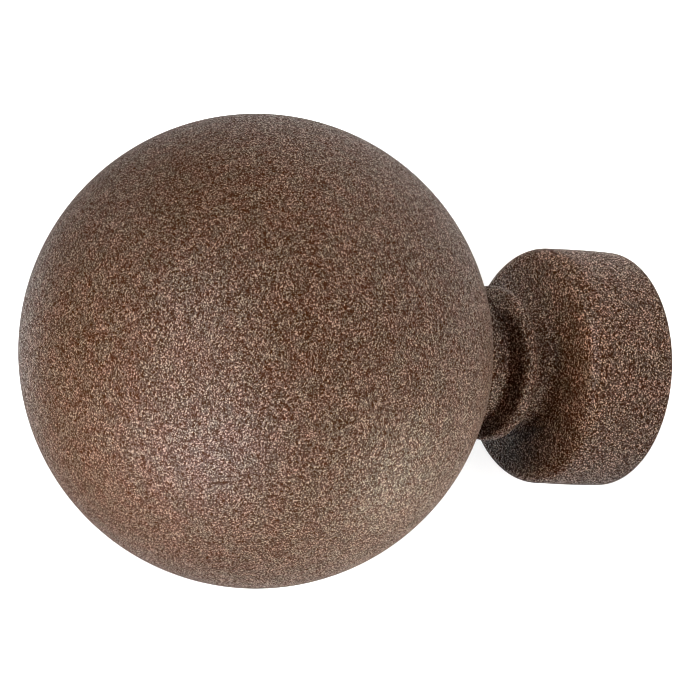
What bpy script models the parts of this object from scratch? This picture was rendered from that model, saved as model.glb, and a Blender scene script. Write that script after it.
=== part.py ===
"""A ball finial for the end of a curtain rod, turned as one piece and coated all over.

The finial stands on the rim of its socket. The origin is the middle of the rim, and +Z runs along the
axis to the top of the ball. All lengths are in metres. Heights are worked out from the rim upwards, and
the outline is turned about the axis.
"""

import math

import bmesh
import bpy
from mathutils import Vector

# The rod, and the socket that takes its end
ROD_DIAMETER = 0.0254
ROD_CLEARANCE = 0.0006
SOCKET_FLOOR = 0.0025
MOUTH_CHAMFER = 0.0003

# The collar around the socket: a slightly barrelled side, a rounded corner and a face that rises to the neck
COLLAR_WALL = 0.0024
COLLAR_LENGTH = 0.0120
FACE_RISE = 0.0014
COLLAR_BARREL = 0.0001
BARREL_ROUNDING = 0.15
CORNER_ROUNDING = 0.0021
RIM_ROUNDING = 0.0004

# The neck: a cove from the face to the ring, the ring, and the waist between it and the ball
COVE_RADIUS = 0.0076
COVE_LENGTH = 0.0039
COVE_ROUNDING = 0.0018
RING_RADIUS = 0.0101
RING_WIDTH = 0.0022
RING_LOWER_EDGE = 0.0010
RING_UPPER_EDGE = 0.0010
RING_SLOPE = 0.0010
WAIST_RADIUS = 0.0075
WAIST_LENGTH = 0.0021
WAIST_LOWER_ROUNDING = 0.0007
WAIST_UPPER_ROUNDING = 0.0015
NECK_TOP_RADIUS = 0.0081
NECK_TOP_LENGTH = 0.0030

BALL_RADIUS = 0.030

# How finely the turned shape is divided, with a row of corners at the ball's widest place
SEGMENTS = 60
UPPER_STEPS = 14
LOWER_STEPS = 12
ARC_STEP = math.radians(16)
SHARP_ANGLE = math.radians(35)
MERGE_DISTANCE = 1e-6

COAT_COLOR = (0.12, 0.07, 0.045, 1.0)
COAT_METALLIC = 0.5
COAT_ROUGHNESS = 0.55


def clear_scene():
    for thing in list(bpy.data.objects):
        bpy.data.objects.remove(thing)


def coat_material():
    """Dark bronze coat, here as one even finish."""
    material = bpy.data.materials.new("bronze_coat")
    material.use_nodes = True
    surface = material.node_tree.nodes["Principled BSDF"]
    surface.inputs["Base Color"].default_value = COAT_COLOR
    surface.inputs["Metallic"].default_value = COAT_METALLIC
    surface.inputs["Roughness"].default_value = COAT_ROUGHNESS
    material.diffuse_color = COAT_COLOR
    return material


def arc_between(centre, start, end):
    """Points on the arc about centre from start to end the short way, both included."""
    first, last = start - centre, end - centre
    steps = max(2, round(first.angle(last) / ARC_STEP))
    return [centre + first.slerp(last, step / steps) * first.length for step in range(steps + 1)]


def rounded_corner(before, corner, after, rounding):
    """The arc that rounds one corner of the outline, kept within half of each side beside it."""
    back, ahead = before - corner, after - corner
    half_angle = back.angle(ahead) / 2
    reach = min(rounding / math.tan(half_angle), back.length / 2, ahead.length / 2)
    back.normalize()
    ahead.normalize()
    centre = corner + (back + ahead).normalized() * reach / math.cos(half_angle)
    return arc_between(centre, corner + back * reach, corner + ahead * reach)


def rounded_outline(corners):
    """Joins (radius, height, rounding) corners into one outline. A rounding of 0 stays sharp."""
    places = [Vector((radius, height)) for radius, height, _ in corners]
    roundings = [rounding for _, _, rounding in corners]
    outline = [places[0]]
    for before, corner, after, rounding in zip(places, places[1:], places[2:], roundings[1:]):
        outline += rounded_corner(before, corner, after, rounding) if rounding else [corner]
    return outline + [places[-1]]


def finial_outline():
    """Down the outside from the top of the ball to the rim, then up the socket to the axis."""
    socket_radius = (ROD_DIAMETER + ROD_CLEARANCE) / 2
    collar_radius = socket_radius + COLLAR_WALL
    socket_depth = COLLAR_LENGTH - SOCKET_FLOOR
    face_top = COLLAR_LENGTH + FACE_RISE
    ring_bottom = face_top + COVE_LENGTH
    ring_top = ring_bottom + RING_WIDTH
    waist_bottom = ring_top + RING_SLOPE
    waist_top = waist_bottom + WAIST_LENGTH
    neck_top = waist_top + NECK_TOP_LENGTH
    ball_centre = neck_top + math.sqrt(BALL_RADIUS**2 - NECK_TOP_RADIUS**2)

    quarter = math.pi / 2
    lower_sweep = quarter - math.asin(NECK_TOP_RADIUS / BALL_RADIUS)
    angles = [quarter * step / UPPER_STEPS for step in range(UPPER_STEPS)]
    angles += [quarter + lower_sweep * step / LOWER_STEPS for step in range(LOWER_STEPS)]
    ball = []
    for angle in angles:
        ball.append(Vector((BALL_RADIUS * math.sin(angle), ball_centre + BALL_RADIUS * math.cos(angle))))

    outside = rounded_outline([
        (NECK_TOP_RADIUS, neck_top, 0),
        (WAIST_RADIUS, waist_top, WAIST_UPPER_ROUNDING),
        (WAIST_RADIUS, waist_bottom, WAIST_LOWER_ROUNDING),
        (RING_RADIUS, ring_top, RING_UPPER_EDGE),
        (RING_RADIUS, ring_bottom, RING_LOWER_EDGE),
        (COVE_RADIUS, ring_bottom, 0),
        (COVE_RADIUS, face_top, COVE_ROUNDING),
        (collar_radius, COLLAR_LENGTH, CORNER_ROUNDING),
        (collar_radius + COLLAR_BARREL, COLLAR_LENGTH / 2, BARREL_ROUNDING),
        (collar_radius, 0, RIM_ROUNDING),
        (socket_radius + MOUTH_CHAMFER, 0, 0),
        (socket_radius, MOUTH_CHAMFER, 0),
        (socket_radius, socket_depth, 0),
        (0, socket_depth, 0),
    ])
    return ball + outside


def turned(name, outline):
    """Turns an outline about the Z axis into one closed object."""
    shape = bmesh.new()
    points = [shape.verts.new((point.x, 0, point.y)) for point in outline]
    sides = [shape.edges.new(pair) for pair in zip(points, points[1:])]
    bmesh.ops.spin(
        shape, geom=points + sides, axis=(0, 0, 1), angle=math.tau, steps=SEGMENTS, use_merge=True
    )
    bmesh.ops.remove_doubles(shape, verts=shape.verts, dist=MERGE_DISTANCE)
    bmesh.ops.recalc_face_normals(shape, faces=shape.faces)
    mesh = bpy.data.meshes.new(name)
    shape.to_mesh(mesh)
    shape.free()
    mesh.shade_smooth()
    mesh.set_sharp_from_angle(angle=SHARP_ANGLE)
    turned_object = bpy.data.objects.new(name, mesh)
    bpy.context.scene.collection.objects.link(turned_object)
    return turned_object


def main():
    clear_scene()
    finial = turned("ball_finial", finial_outline())
    finial.data.materials.append(coat_material())


main()
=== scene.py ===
import math

import bpy
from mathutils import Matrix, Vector


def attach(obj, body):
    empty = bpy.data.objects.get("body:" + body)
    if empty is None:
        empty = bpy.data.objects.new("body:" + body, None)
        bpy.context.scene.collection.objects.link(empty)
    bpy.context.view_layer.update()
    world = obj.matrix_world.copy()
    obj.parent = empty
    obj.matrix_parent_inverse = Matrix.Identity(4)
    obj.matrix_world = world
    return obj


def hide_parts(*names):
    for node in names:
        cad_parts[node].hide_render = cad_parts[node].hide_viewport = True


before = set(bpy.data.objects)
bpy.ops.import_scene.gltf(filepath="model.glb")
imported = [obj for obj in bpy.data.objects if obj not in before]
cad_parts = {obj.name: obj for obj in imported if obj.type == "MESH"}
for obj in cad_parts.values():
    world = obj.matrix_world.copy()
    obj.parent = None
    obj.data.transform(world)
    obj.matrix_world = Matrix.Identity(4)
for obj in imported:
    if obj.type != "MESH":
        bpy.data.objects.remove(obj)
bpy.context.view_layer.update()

# Heights above the rim, in metres
COLLAR_TOP = 0.0120
FACE_TOP = 0.0134
RING_BOTTOM = 0.0173
RING_TOP = 0.0195
WAIST_BOTTOM = 0.0205
WAIST_TOP = 0.0226
NECK_TOP = 0.0256
SOCKET_DEPTH = 0.0095

# Radii
BALL_RADIUS = 0.030
NECK_TOP_RADIUS = 0.0081
WAIST_RADIUS = 0.0075
RING_RADIUS = 0.0101
COVE_RADIUS = 0.0076
COLLAR_RADIUS = 0.0154
COLLAR_BARREL = 0.0001
SOCKET_RADIUS = 0.0130
MOUTH_RADIUS = 0.0133
MOUTH_CHAMFER = 0.0003

# Roundings of the corners
NECK_ROUNDING = 0.0015
WAIST_ROUNDING = 0.0007
RING_ROUNDING = 0.0010
COVE_ROUNDING = 0.0018
SHOULDER_ROUNDING = 0.0021
RIM_ROUNDING = 0.0004

# How near a corner is to its named place
LOOP_REACH = 0.00002

BALL_CENTRE = NECK_TOP + math.sqrt(BALL_RADIUS**2 - NECK_TOP_RADIUS**2)

# The camera's place, its turns in degrees and its lens
CAMERA_PLACE = (0.0, -0.533333, 0.393585)
CAMERA_TURN = (4.476, 56.3839, -84.7379)
CAMERA_LENS = 258.6207

# Wide lights round the piece: azimuth, elevation, width and power
SOFT_DISTANCE = 0.9
SOFT_TARGET = (0, 0, 0.040)
SOFT_LIGHTS = [
    (240, 58, 0.15, 3.6),
    (300, 58, 0.15, 3.8),
    (330, 58, 0.15, 1.25),
    (315, 30, 0.45, 0.95),
    (45, 30, 0.45, 1.35),
    (90, 8, 0.45, 1.8),
]
# Narrow lights: target, azimuth, elevation, reach, softness of the edge, power and colour
NARROW_DISTANCE = 0.7
NARROW_WIDTH = 0.02
BALL = (0, 0, 0.070)
COLLAR = (0, 0, 0.007)
FACE = (0.010, 0, 0.012)
FLOOR_POOL = (-0.067, -0.0523, 0)
WHITE = (1.0, 1.0, 1.0)
COOL = (0.92, 1.0, 1.13)
WARM = (1.02, 1.0, 0.82)
NARROW_LIGHTS = [
    (BALL, 215, 25, 0.030, 1.0, 25.0, COOL),
    (BALL, 240, 25, 0.030, 1.0, 7.0, WHITE),
    (BALL, 190, 40, 0.030, 1.0, 17.5, COOL),
    (BALL, 165, 55, 0.030, 1.0, 4.5, WHITE),
    (BALL, 180, 10, 0.030, 1.0, 6.5, WHITE),
    (COLLAR, 285, 48, 0.017, 1.0, 5.8, WARM),
    (COLLAR, 315, 48, 0.017, 1.0, 17.5, WHITE),
    (FACE, 20, 40, 0.014, 1.0, 17.0, WARM),
    (FLOOR_POOL, 0, 89.9, 0.0327, 0.5, 355.0, WARM),
]

# Floor and sky
FLOOR_SIZE = 6
FLOOR_COLOR = (0.7, 0.7, 0.7, 1.0)
FLOOR_ROUGHNESS = 0.9
FLOOR_GLOW = 0.78
SKY_BRIGHTNESS = 0.025
PIXEL_FILTER = 1.0

# The coat: size of its flakes, its soft unevenness and its slow drift in tint, in metres
FLAKE_SIZE = 0.00012
UNEVENNESS = 0.00030
TINT_DRIFT = 1 / 550
# The neck and collar have sharper flakes, which set in between these heights
NECK_COAT_START = 0.032
NECK_COAT_FULL = 0.027
COAT_DARK = (0.031, 0.008, 0.001, 1.0)
COAT_FLAKE = (0.37, 0.245, 0.163, 1.0)
NECK_DARK = (0.022, 0.0055, 0.0006, 1.0)
NECK_FLAKE = (0.560, 0.320, 0.196, 1.0)
TINT_OLIVE = (0.915, 1.02, 1.02, 1.0)
TINT_COPPER = (1.085, 0.98, 0.98, 1.0)
SOCKET_COLOR = (0.045, 0.026, 0.017, 1.0)
RELIEF_STRENGTH = 0.25
RELIEF_HEIGHT = 0.00004
COAT_SHEEN_ROUGHNESS = 0.55
# How far past the socket's edges its plain finish reaches
SOCKET_MARGIN = 0.00005


class Field:
    """A value that changes over a surface. Sums on it add Math nodes."""

    def __init__(self, finish, socket):
        self.finish = finish
        self.socket = socket

    def sum(self, operation, first, second):
        return self.finish.sum(operation, first, second)

    def __add__(self, other):
        return self.sum("ADD", self, other)

    def __radd__(self, other):
        return self.sum("ADD", other, self)

    def __rsub__(self, other):
        return self.sum("SUBTRACT", other, self)

    def __mul__(self, other):
        return self.sum("MULTIPLY", self, other)

    def __rmul__(self, other):
        return self.sum("MULTIPLY", other, self)

    def __pow__(self, other):
        return self.sum("POWER", self, other)


class Finish:
    """A material and the nodes that make it."""

    def __init__(self, name):
        self.material = bpy.data.materials.new(name)
        self.material.use_nodes = True
        self.tree = self.material.node_tree
        self.surface = self.tree.nodes["Principled BSDF"]

    def node(self, kind, sockets, output=0, **settings):
        """Adds a node with its settings and the values or links of its sockets, and gives one output."""
        made = self.tree.nodes.new(kind)
        for name, value in settings.items():
            setattr(made, name, value)
        for name, value in sockets.items():
            self.feed(made.inputs[name], value)
        return Field(self, made.outputs[output])

    def feed(self, socket, value):
        if isinstance(value, Field):
            self.tree.links.new(value.socket, socket)
        else:
            socket.default_value = value

    def sum(self, operation, first, second):
        return self.node("ShaderNodeMath", {0: first, 1: second}, operation=operation)

    def place(self):
        return self.node("ShaderNodeTexCoord", {}, "Object")

    def noise(self, place, size):
        """Soft patches of about this size."""
        return self.node("ShaderNodeTexNoise", {"Vector": place, "Scale": 1 / size})

    def grains(self, place, size):
        """One random value for each grain of about this size."""
        colour = self.node("ShaderNodeTexVoronoi", {"Vector": place, "Scale": 1 / size}, "Color")
        return self.node("ShaderNodeSeparateColor", {"Color": colour})

    def spread(self, value, low, high):
        """Spreads a value's middle range over 0 to 1."""
        sockets = {"Value": value, "From Min": low, "From Max": high}
        return self.node("ShaderNodeMapRange", sockets, interpolation_type="SMOOTHSTEP")

    def height(self, place):
        """How high a place is above the rim."""
        return self.node("ShaderNodeSeparateXYZ", {0: place}, "Z")

    def inside(self, place, radius, top):
        """1 within this radius of the axis and below this height, and 0 outside."""
        across = self.node("ShaderNodeVectorMath", {0: place, 1: (1, 1, 0)}, operation="MULTIPLY")
        away = self.node("ShaderNodeVectorMath", {0: across}, "Value", operation="LENGTH")
        near = self.sum("LESS_THAN", away, radius)
        return near * self.sum("LESS_THAN", self.height(place), top)

    def mix(self, share, first, second, blend="MIX"):
        """Blends two colours. A share of 0 gives the first."""
        sockets = {"Factor": share, "A": first, "B": second}
        mixed = self.tree.nodes.new("ShaderNodeMix")
        mixed.data_type = "RGBA"
        mixed.blend_type = blend
        for socket in mixed.inputs:
            if socket.enabled and socket.name in sockets:
                self.feed(socket, sockets[socket.name])
        return Field(self, next(socket for socket in mixed.outputs if socket.enabled))


def bronze_coat():
    """Dark bronze coat, full of fine copper flakes. It runs thin and plain inside the socket."""
    coat = Finish("bronze_coat")
    place = coat.place()
    fine = coat.grains(place, FLAKE_SIZE)
    uneven = coat.noise(place, UNEVENNESS)
    drift = coat.spread(coat.noise(place, TINT_DRIFT), 0.3, 0.7)
    below = coat.spread(coat.height(place), NECK_COAT_START, NECK_COAT_FULL)
    inside = coat.inside(place, MOUTH_RADIUS + SOCKET_MARGIN, SOCKET_DEPTH + SOCKET_MARGIN)

    # Few grains are bright, and fewer on the neck and collar
    dark = coat.mix(below, COAT_DARK, NECK_DARK)
    flake = coat.mix(below, COAT_FLAKE, NECK_FLAKE)
    flaky = coat.mix(fine ** (6.0 + 2.0 * below), dark, flake)
    tint = coat.mix(drift, TINT_OLIVE, TINT_COPPER)
    colour = coat.mix(inside, coat.mix(1.0, flaky, tint, "MULTIPLY"), SOCKET_COLOR)

    # The bright grains also shine more
    shine = fine ** (2.0 + 1.5 * below) * (1.65 + 1.2 * below)
    gloss = (0.02 + shine) * (1.0 - inside)
    roughness = 0.60 - 0.10 * uneven
    relief = coat.node(
        "ShaderNodeBump",
        {"Height": uneven * 0.6 + fine * 0.4, "Strength": RELIEF_STRENGTH, "Distance": RELIEF_HEIGHT},
    )

    coat.feed(coat.surface.inputs["Base Color"], colour)
    coat.feed(coat.surface.inputs["Roughness"], roughness)
    coat.feed(coat.surface.inputs["Specular IOR Level"], 0.0)
    coat.feed(coat.surface.inputs["Coat Weight"], gloss)
    coat.feed(coat.surface.inputs["Coat Roughness"], COAT_SHEEN_ROUGHNESS)
    coat.feed(coat.surface.inputs["Normal"], relief)
    return coat.material


def corner_reach(before, corner, after, rounding):
    """How far along each side of a corner its rounding starts."""
    back, ahead = Vector(before) - Vector(corner), Vector(after) - Vector(corner)
    return rounding / math.tan(back.angle(ahead) / 2)


def select_loop(mesh, radius, height):
    """Selects the edges that run round the piece at this radius and height."""
    bpy.ops.mesh.select_all(action="DESELECT")
    bpy.ops.object.mode_set(mode="OBJECT")
    on_loop = set()
    for vertex in mesh.vertices:
        away = math.hypot(math.hypot(vertex.co.x, vertex.co.y) - radius, vertex.co.z - height)
        if away < LOOP_REACH:
            on_loop.add(vertex.index)
    for edge in mesh.edges:
        edge.select = all(index in on_loop for index in edge.vertices)
    bpy.ops.object.mode_set(mode="EDIT")


def barrel(top, steps=8):
    """The collar's side from its top corner to the rim, bulging a little in the middle."""
    places = []
    for step in range(steps + 1):
        share = step / steps
        places.append((COLLAR_RADIUS + COLLAR_BARREL * 4 * share * (1 - share), top * (1 - share), 0))
    return places


def turned_finial():
    """The whole finial: a ball whose cut underside is drawn down into neck, collar and socket."""
    bpy.ops.object.select_all(action="DESELECT")
    bpy.ops.mesh.primitive_uv_sphere_add(
        segments=192, ring_count=120, radius=BALL_RADIUS, location=(0, 0, BALL_CENTRE)
    )
    finial = bpy.context.object
    finial.name = finial.data.name = "turned_finial"
    bpy.ops.object.transform_apply(location=True)

    bpy.ops.object.mode_set(mode="EDIT")
    bpy.ops.mesh.select_all(action="SELECT")
    bpy.ops.mesh.bisect(
        plane_co=(0, 0, NECK_TOP), plane_no=(0, 0, 1), clear_inner=True, threshold=1e-7
    )

    outline = [
        (NECK_TOP_RADIUS, NECK_TOP, 0),
        (WAIST_RADIUS, WAIST_TOP, NECK_ROUNDING),
        (WAIST_RADIUS, WAIST_BOTTOM, WAIST_ROUNDING),
        (RING_RADIUS, RING_TOP, RING_ROUNDING),
        (RING_RADIUS, RING_BOTTOM, RING_ROUNDING),
        (COVE_RADIUS, RING_BOTTOM, 0),
        (COVE_RADIUS, FACE_TOP, COVE_ROUNDING),
        (COLLAR_RADIUS, COLLAR_TOP, SHOULDER_ROUNDING),
        *barrel(COLLAR_TOP - SHOULDER_ROUNDING)[1:-1],
        (COLLAR_RADIUS, 0, RIM_ROUNDING),
        (MOUTH_RADIUS, 0, 0),
        (SOCKET_RADIUS, MOUTH_CHAMFER, 0),
        (SOCKET_RADIUS, SOCKET_DEPTH, 0),
    ]
    for (radius, height, _), (next_radius, next_height, _) in zip(outline, outline[1:]):
        bpy.ops.mesh.extrude_region_move(
            TRANSFORM_OT_translate={"value": (0, 0, next_height - height)}
        )
        growth = next_radius / radius
        bpy.ops.transform.resize(value=(growth, growth, 1), center_override=(0, 0, next_height))
    bpy.ops.mesh.extrude_region_move()
    bpy.ops.mesh.merge(type="CENTER")

    places = [(radius, height) for radius, height, _ in outline]
    for before, (radius, height, rounding), after in zip(places, outline[1:], places[2:]):
        if rounding:
            select_loop(finial.data, radius, height)
            reach = corner_reach(before, (radius, height), after, rounding)
            bpy.ops.mesh.bevel(offset=reach, segments=8, profile=0.5, affect="EDGES")

    bpy.ops.mesh.select_all(action="SELECT")
    bpy.ops.mesh.remove_doubles(threshold=1e-6)
    bpy.ops.mesh.normals_make_consistent(inside=False)
    bpy.ops.object.mode_set(mode="OBJECT")
    bpy.ops.object.shade_smooth_by_angle(angle=math.radians(40))
    return finial


def add_camera():
    camera_data = bpy.data.cameras.new("camera")
    camera_data.sensor_width = 36
    camera_data.lens = CAMERA_LENS
    camera_data.clip_end = 20
    camera = bpy.data.objects.new("camera", camera_data)
    camera.location = CAMERA_PLACE
    camera.rotation_euler = [math.radians(angle) for angle in CAMERA_TURN]
    bpy.context.collection.objects.link(camera)
    bpy.context.scene.camera = camera


def add_floor():
    bpy.ops.object.select_all(action="DESELECT")
    bpy.ops.mesh.primitive_plane_add(size=FLOOR_SIZE)
    floor = bpy.context.object
    floor.name = "floor"
    paper = Finish("floor_paper")
    paper.feed(paper.surface.inputs["Base Color"], FLOOR_COLOR)
    paper.feed(paper.surface.inputs["Roughness"], FLOOR_ROUGHNESS)
    paper.feed(paper.surface.inputs["Emission Color"], (1.0, 1.0, 1.0, 1.0))
    paper.feed(paper.surface.inputs["Emission Strength"], FLOOR_GLOW)
    floor.data.materials.append(paper.material)


def add_lamp(name, kind, target, azimuth, elevation, distance, power, **settings):
    """A lamp that looks at its target from this azimuth and elevation, in degrees."""
    lamp_data = bpy.data.lights.new(name, kind)
    lamp_data.energy = power
    for setting, value in settings.items():
        setattr(lamp_data, setting, value)
    lamp = bpy.data.objects.new(name, lamp_data)
    turn, rise = math.radians(azimuth), math.radians(elevation)
    level = math.cos(rise)
    towards = Vector((level * math.cos(turn), level * math.sin(turn), math.sin(rise)))
    lamp.location = Vector(target) + towards * distance
    lamp.rotation_euler = towards.to_track_quat("Z", "Y").to_euler()
    bpy.context.collection.objects.link(lamp)


def add_lights():
    for azimuth, elevation, width, power in SOFT_LIGHTS:
        add_lamp(
            "soft_light", "AREA", SOFT_TARGET, azimuth, elevation, SOFT_DISTANCE, power,
            shape="DISK", size=width,
        )
    for target, azimuth, elevation, reach, blend, power, colour in NARROW_LIGHTS:
        add_lamp(
            "narrow_light", "SPOT", target, azimuth, elevation, NARROW_DISTANCE, power,
            color=colour, spot_blend=blend, shadow_soft_size=NARROW_WIDTH,
            spot_size=2 * math.atan(reach / NARROW_DISTANCE),
        )


def add_sky():
    world = bpy.data.worlds.new("studio")
    world.use_nodes = True
    background = world.node_tree.nodes["Background"]
    background.inputs["Color"].default_value = (1, 1, 1, 1)
    background.inputs["Strength"].default_value = SKY_BRIGHTNESS
    bpy.context.scene.world = world


add_camera()
finial = turned_finial()
finial.data.materials.append(bronze_coat())
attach(finial, "root")
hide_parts("ball_finial")

add_floor()
add_sky()
add_lights()
bpy.context.scene.view_settings.view_transform = "Standard"
bpy.context.scene.cycles.filter_width = PIXEL_FILTER
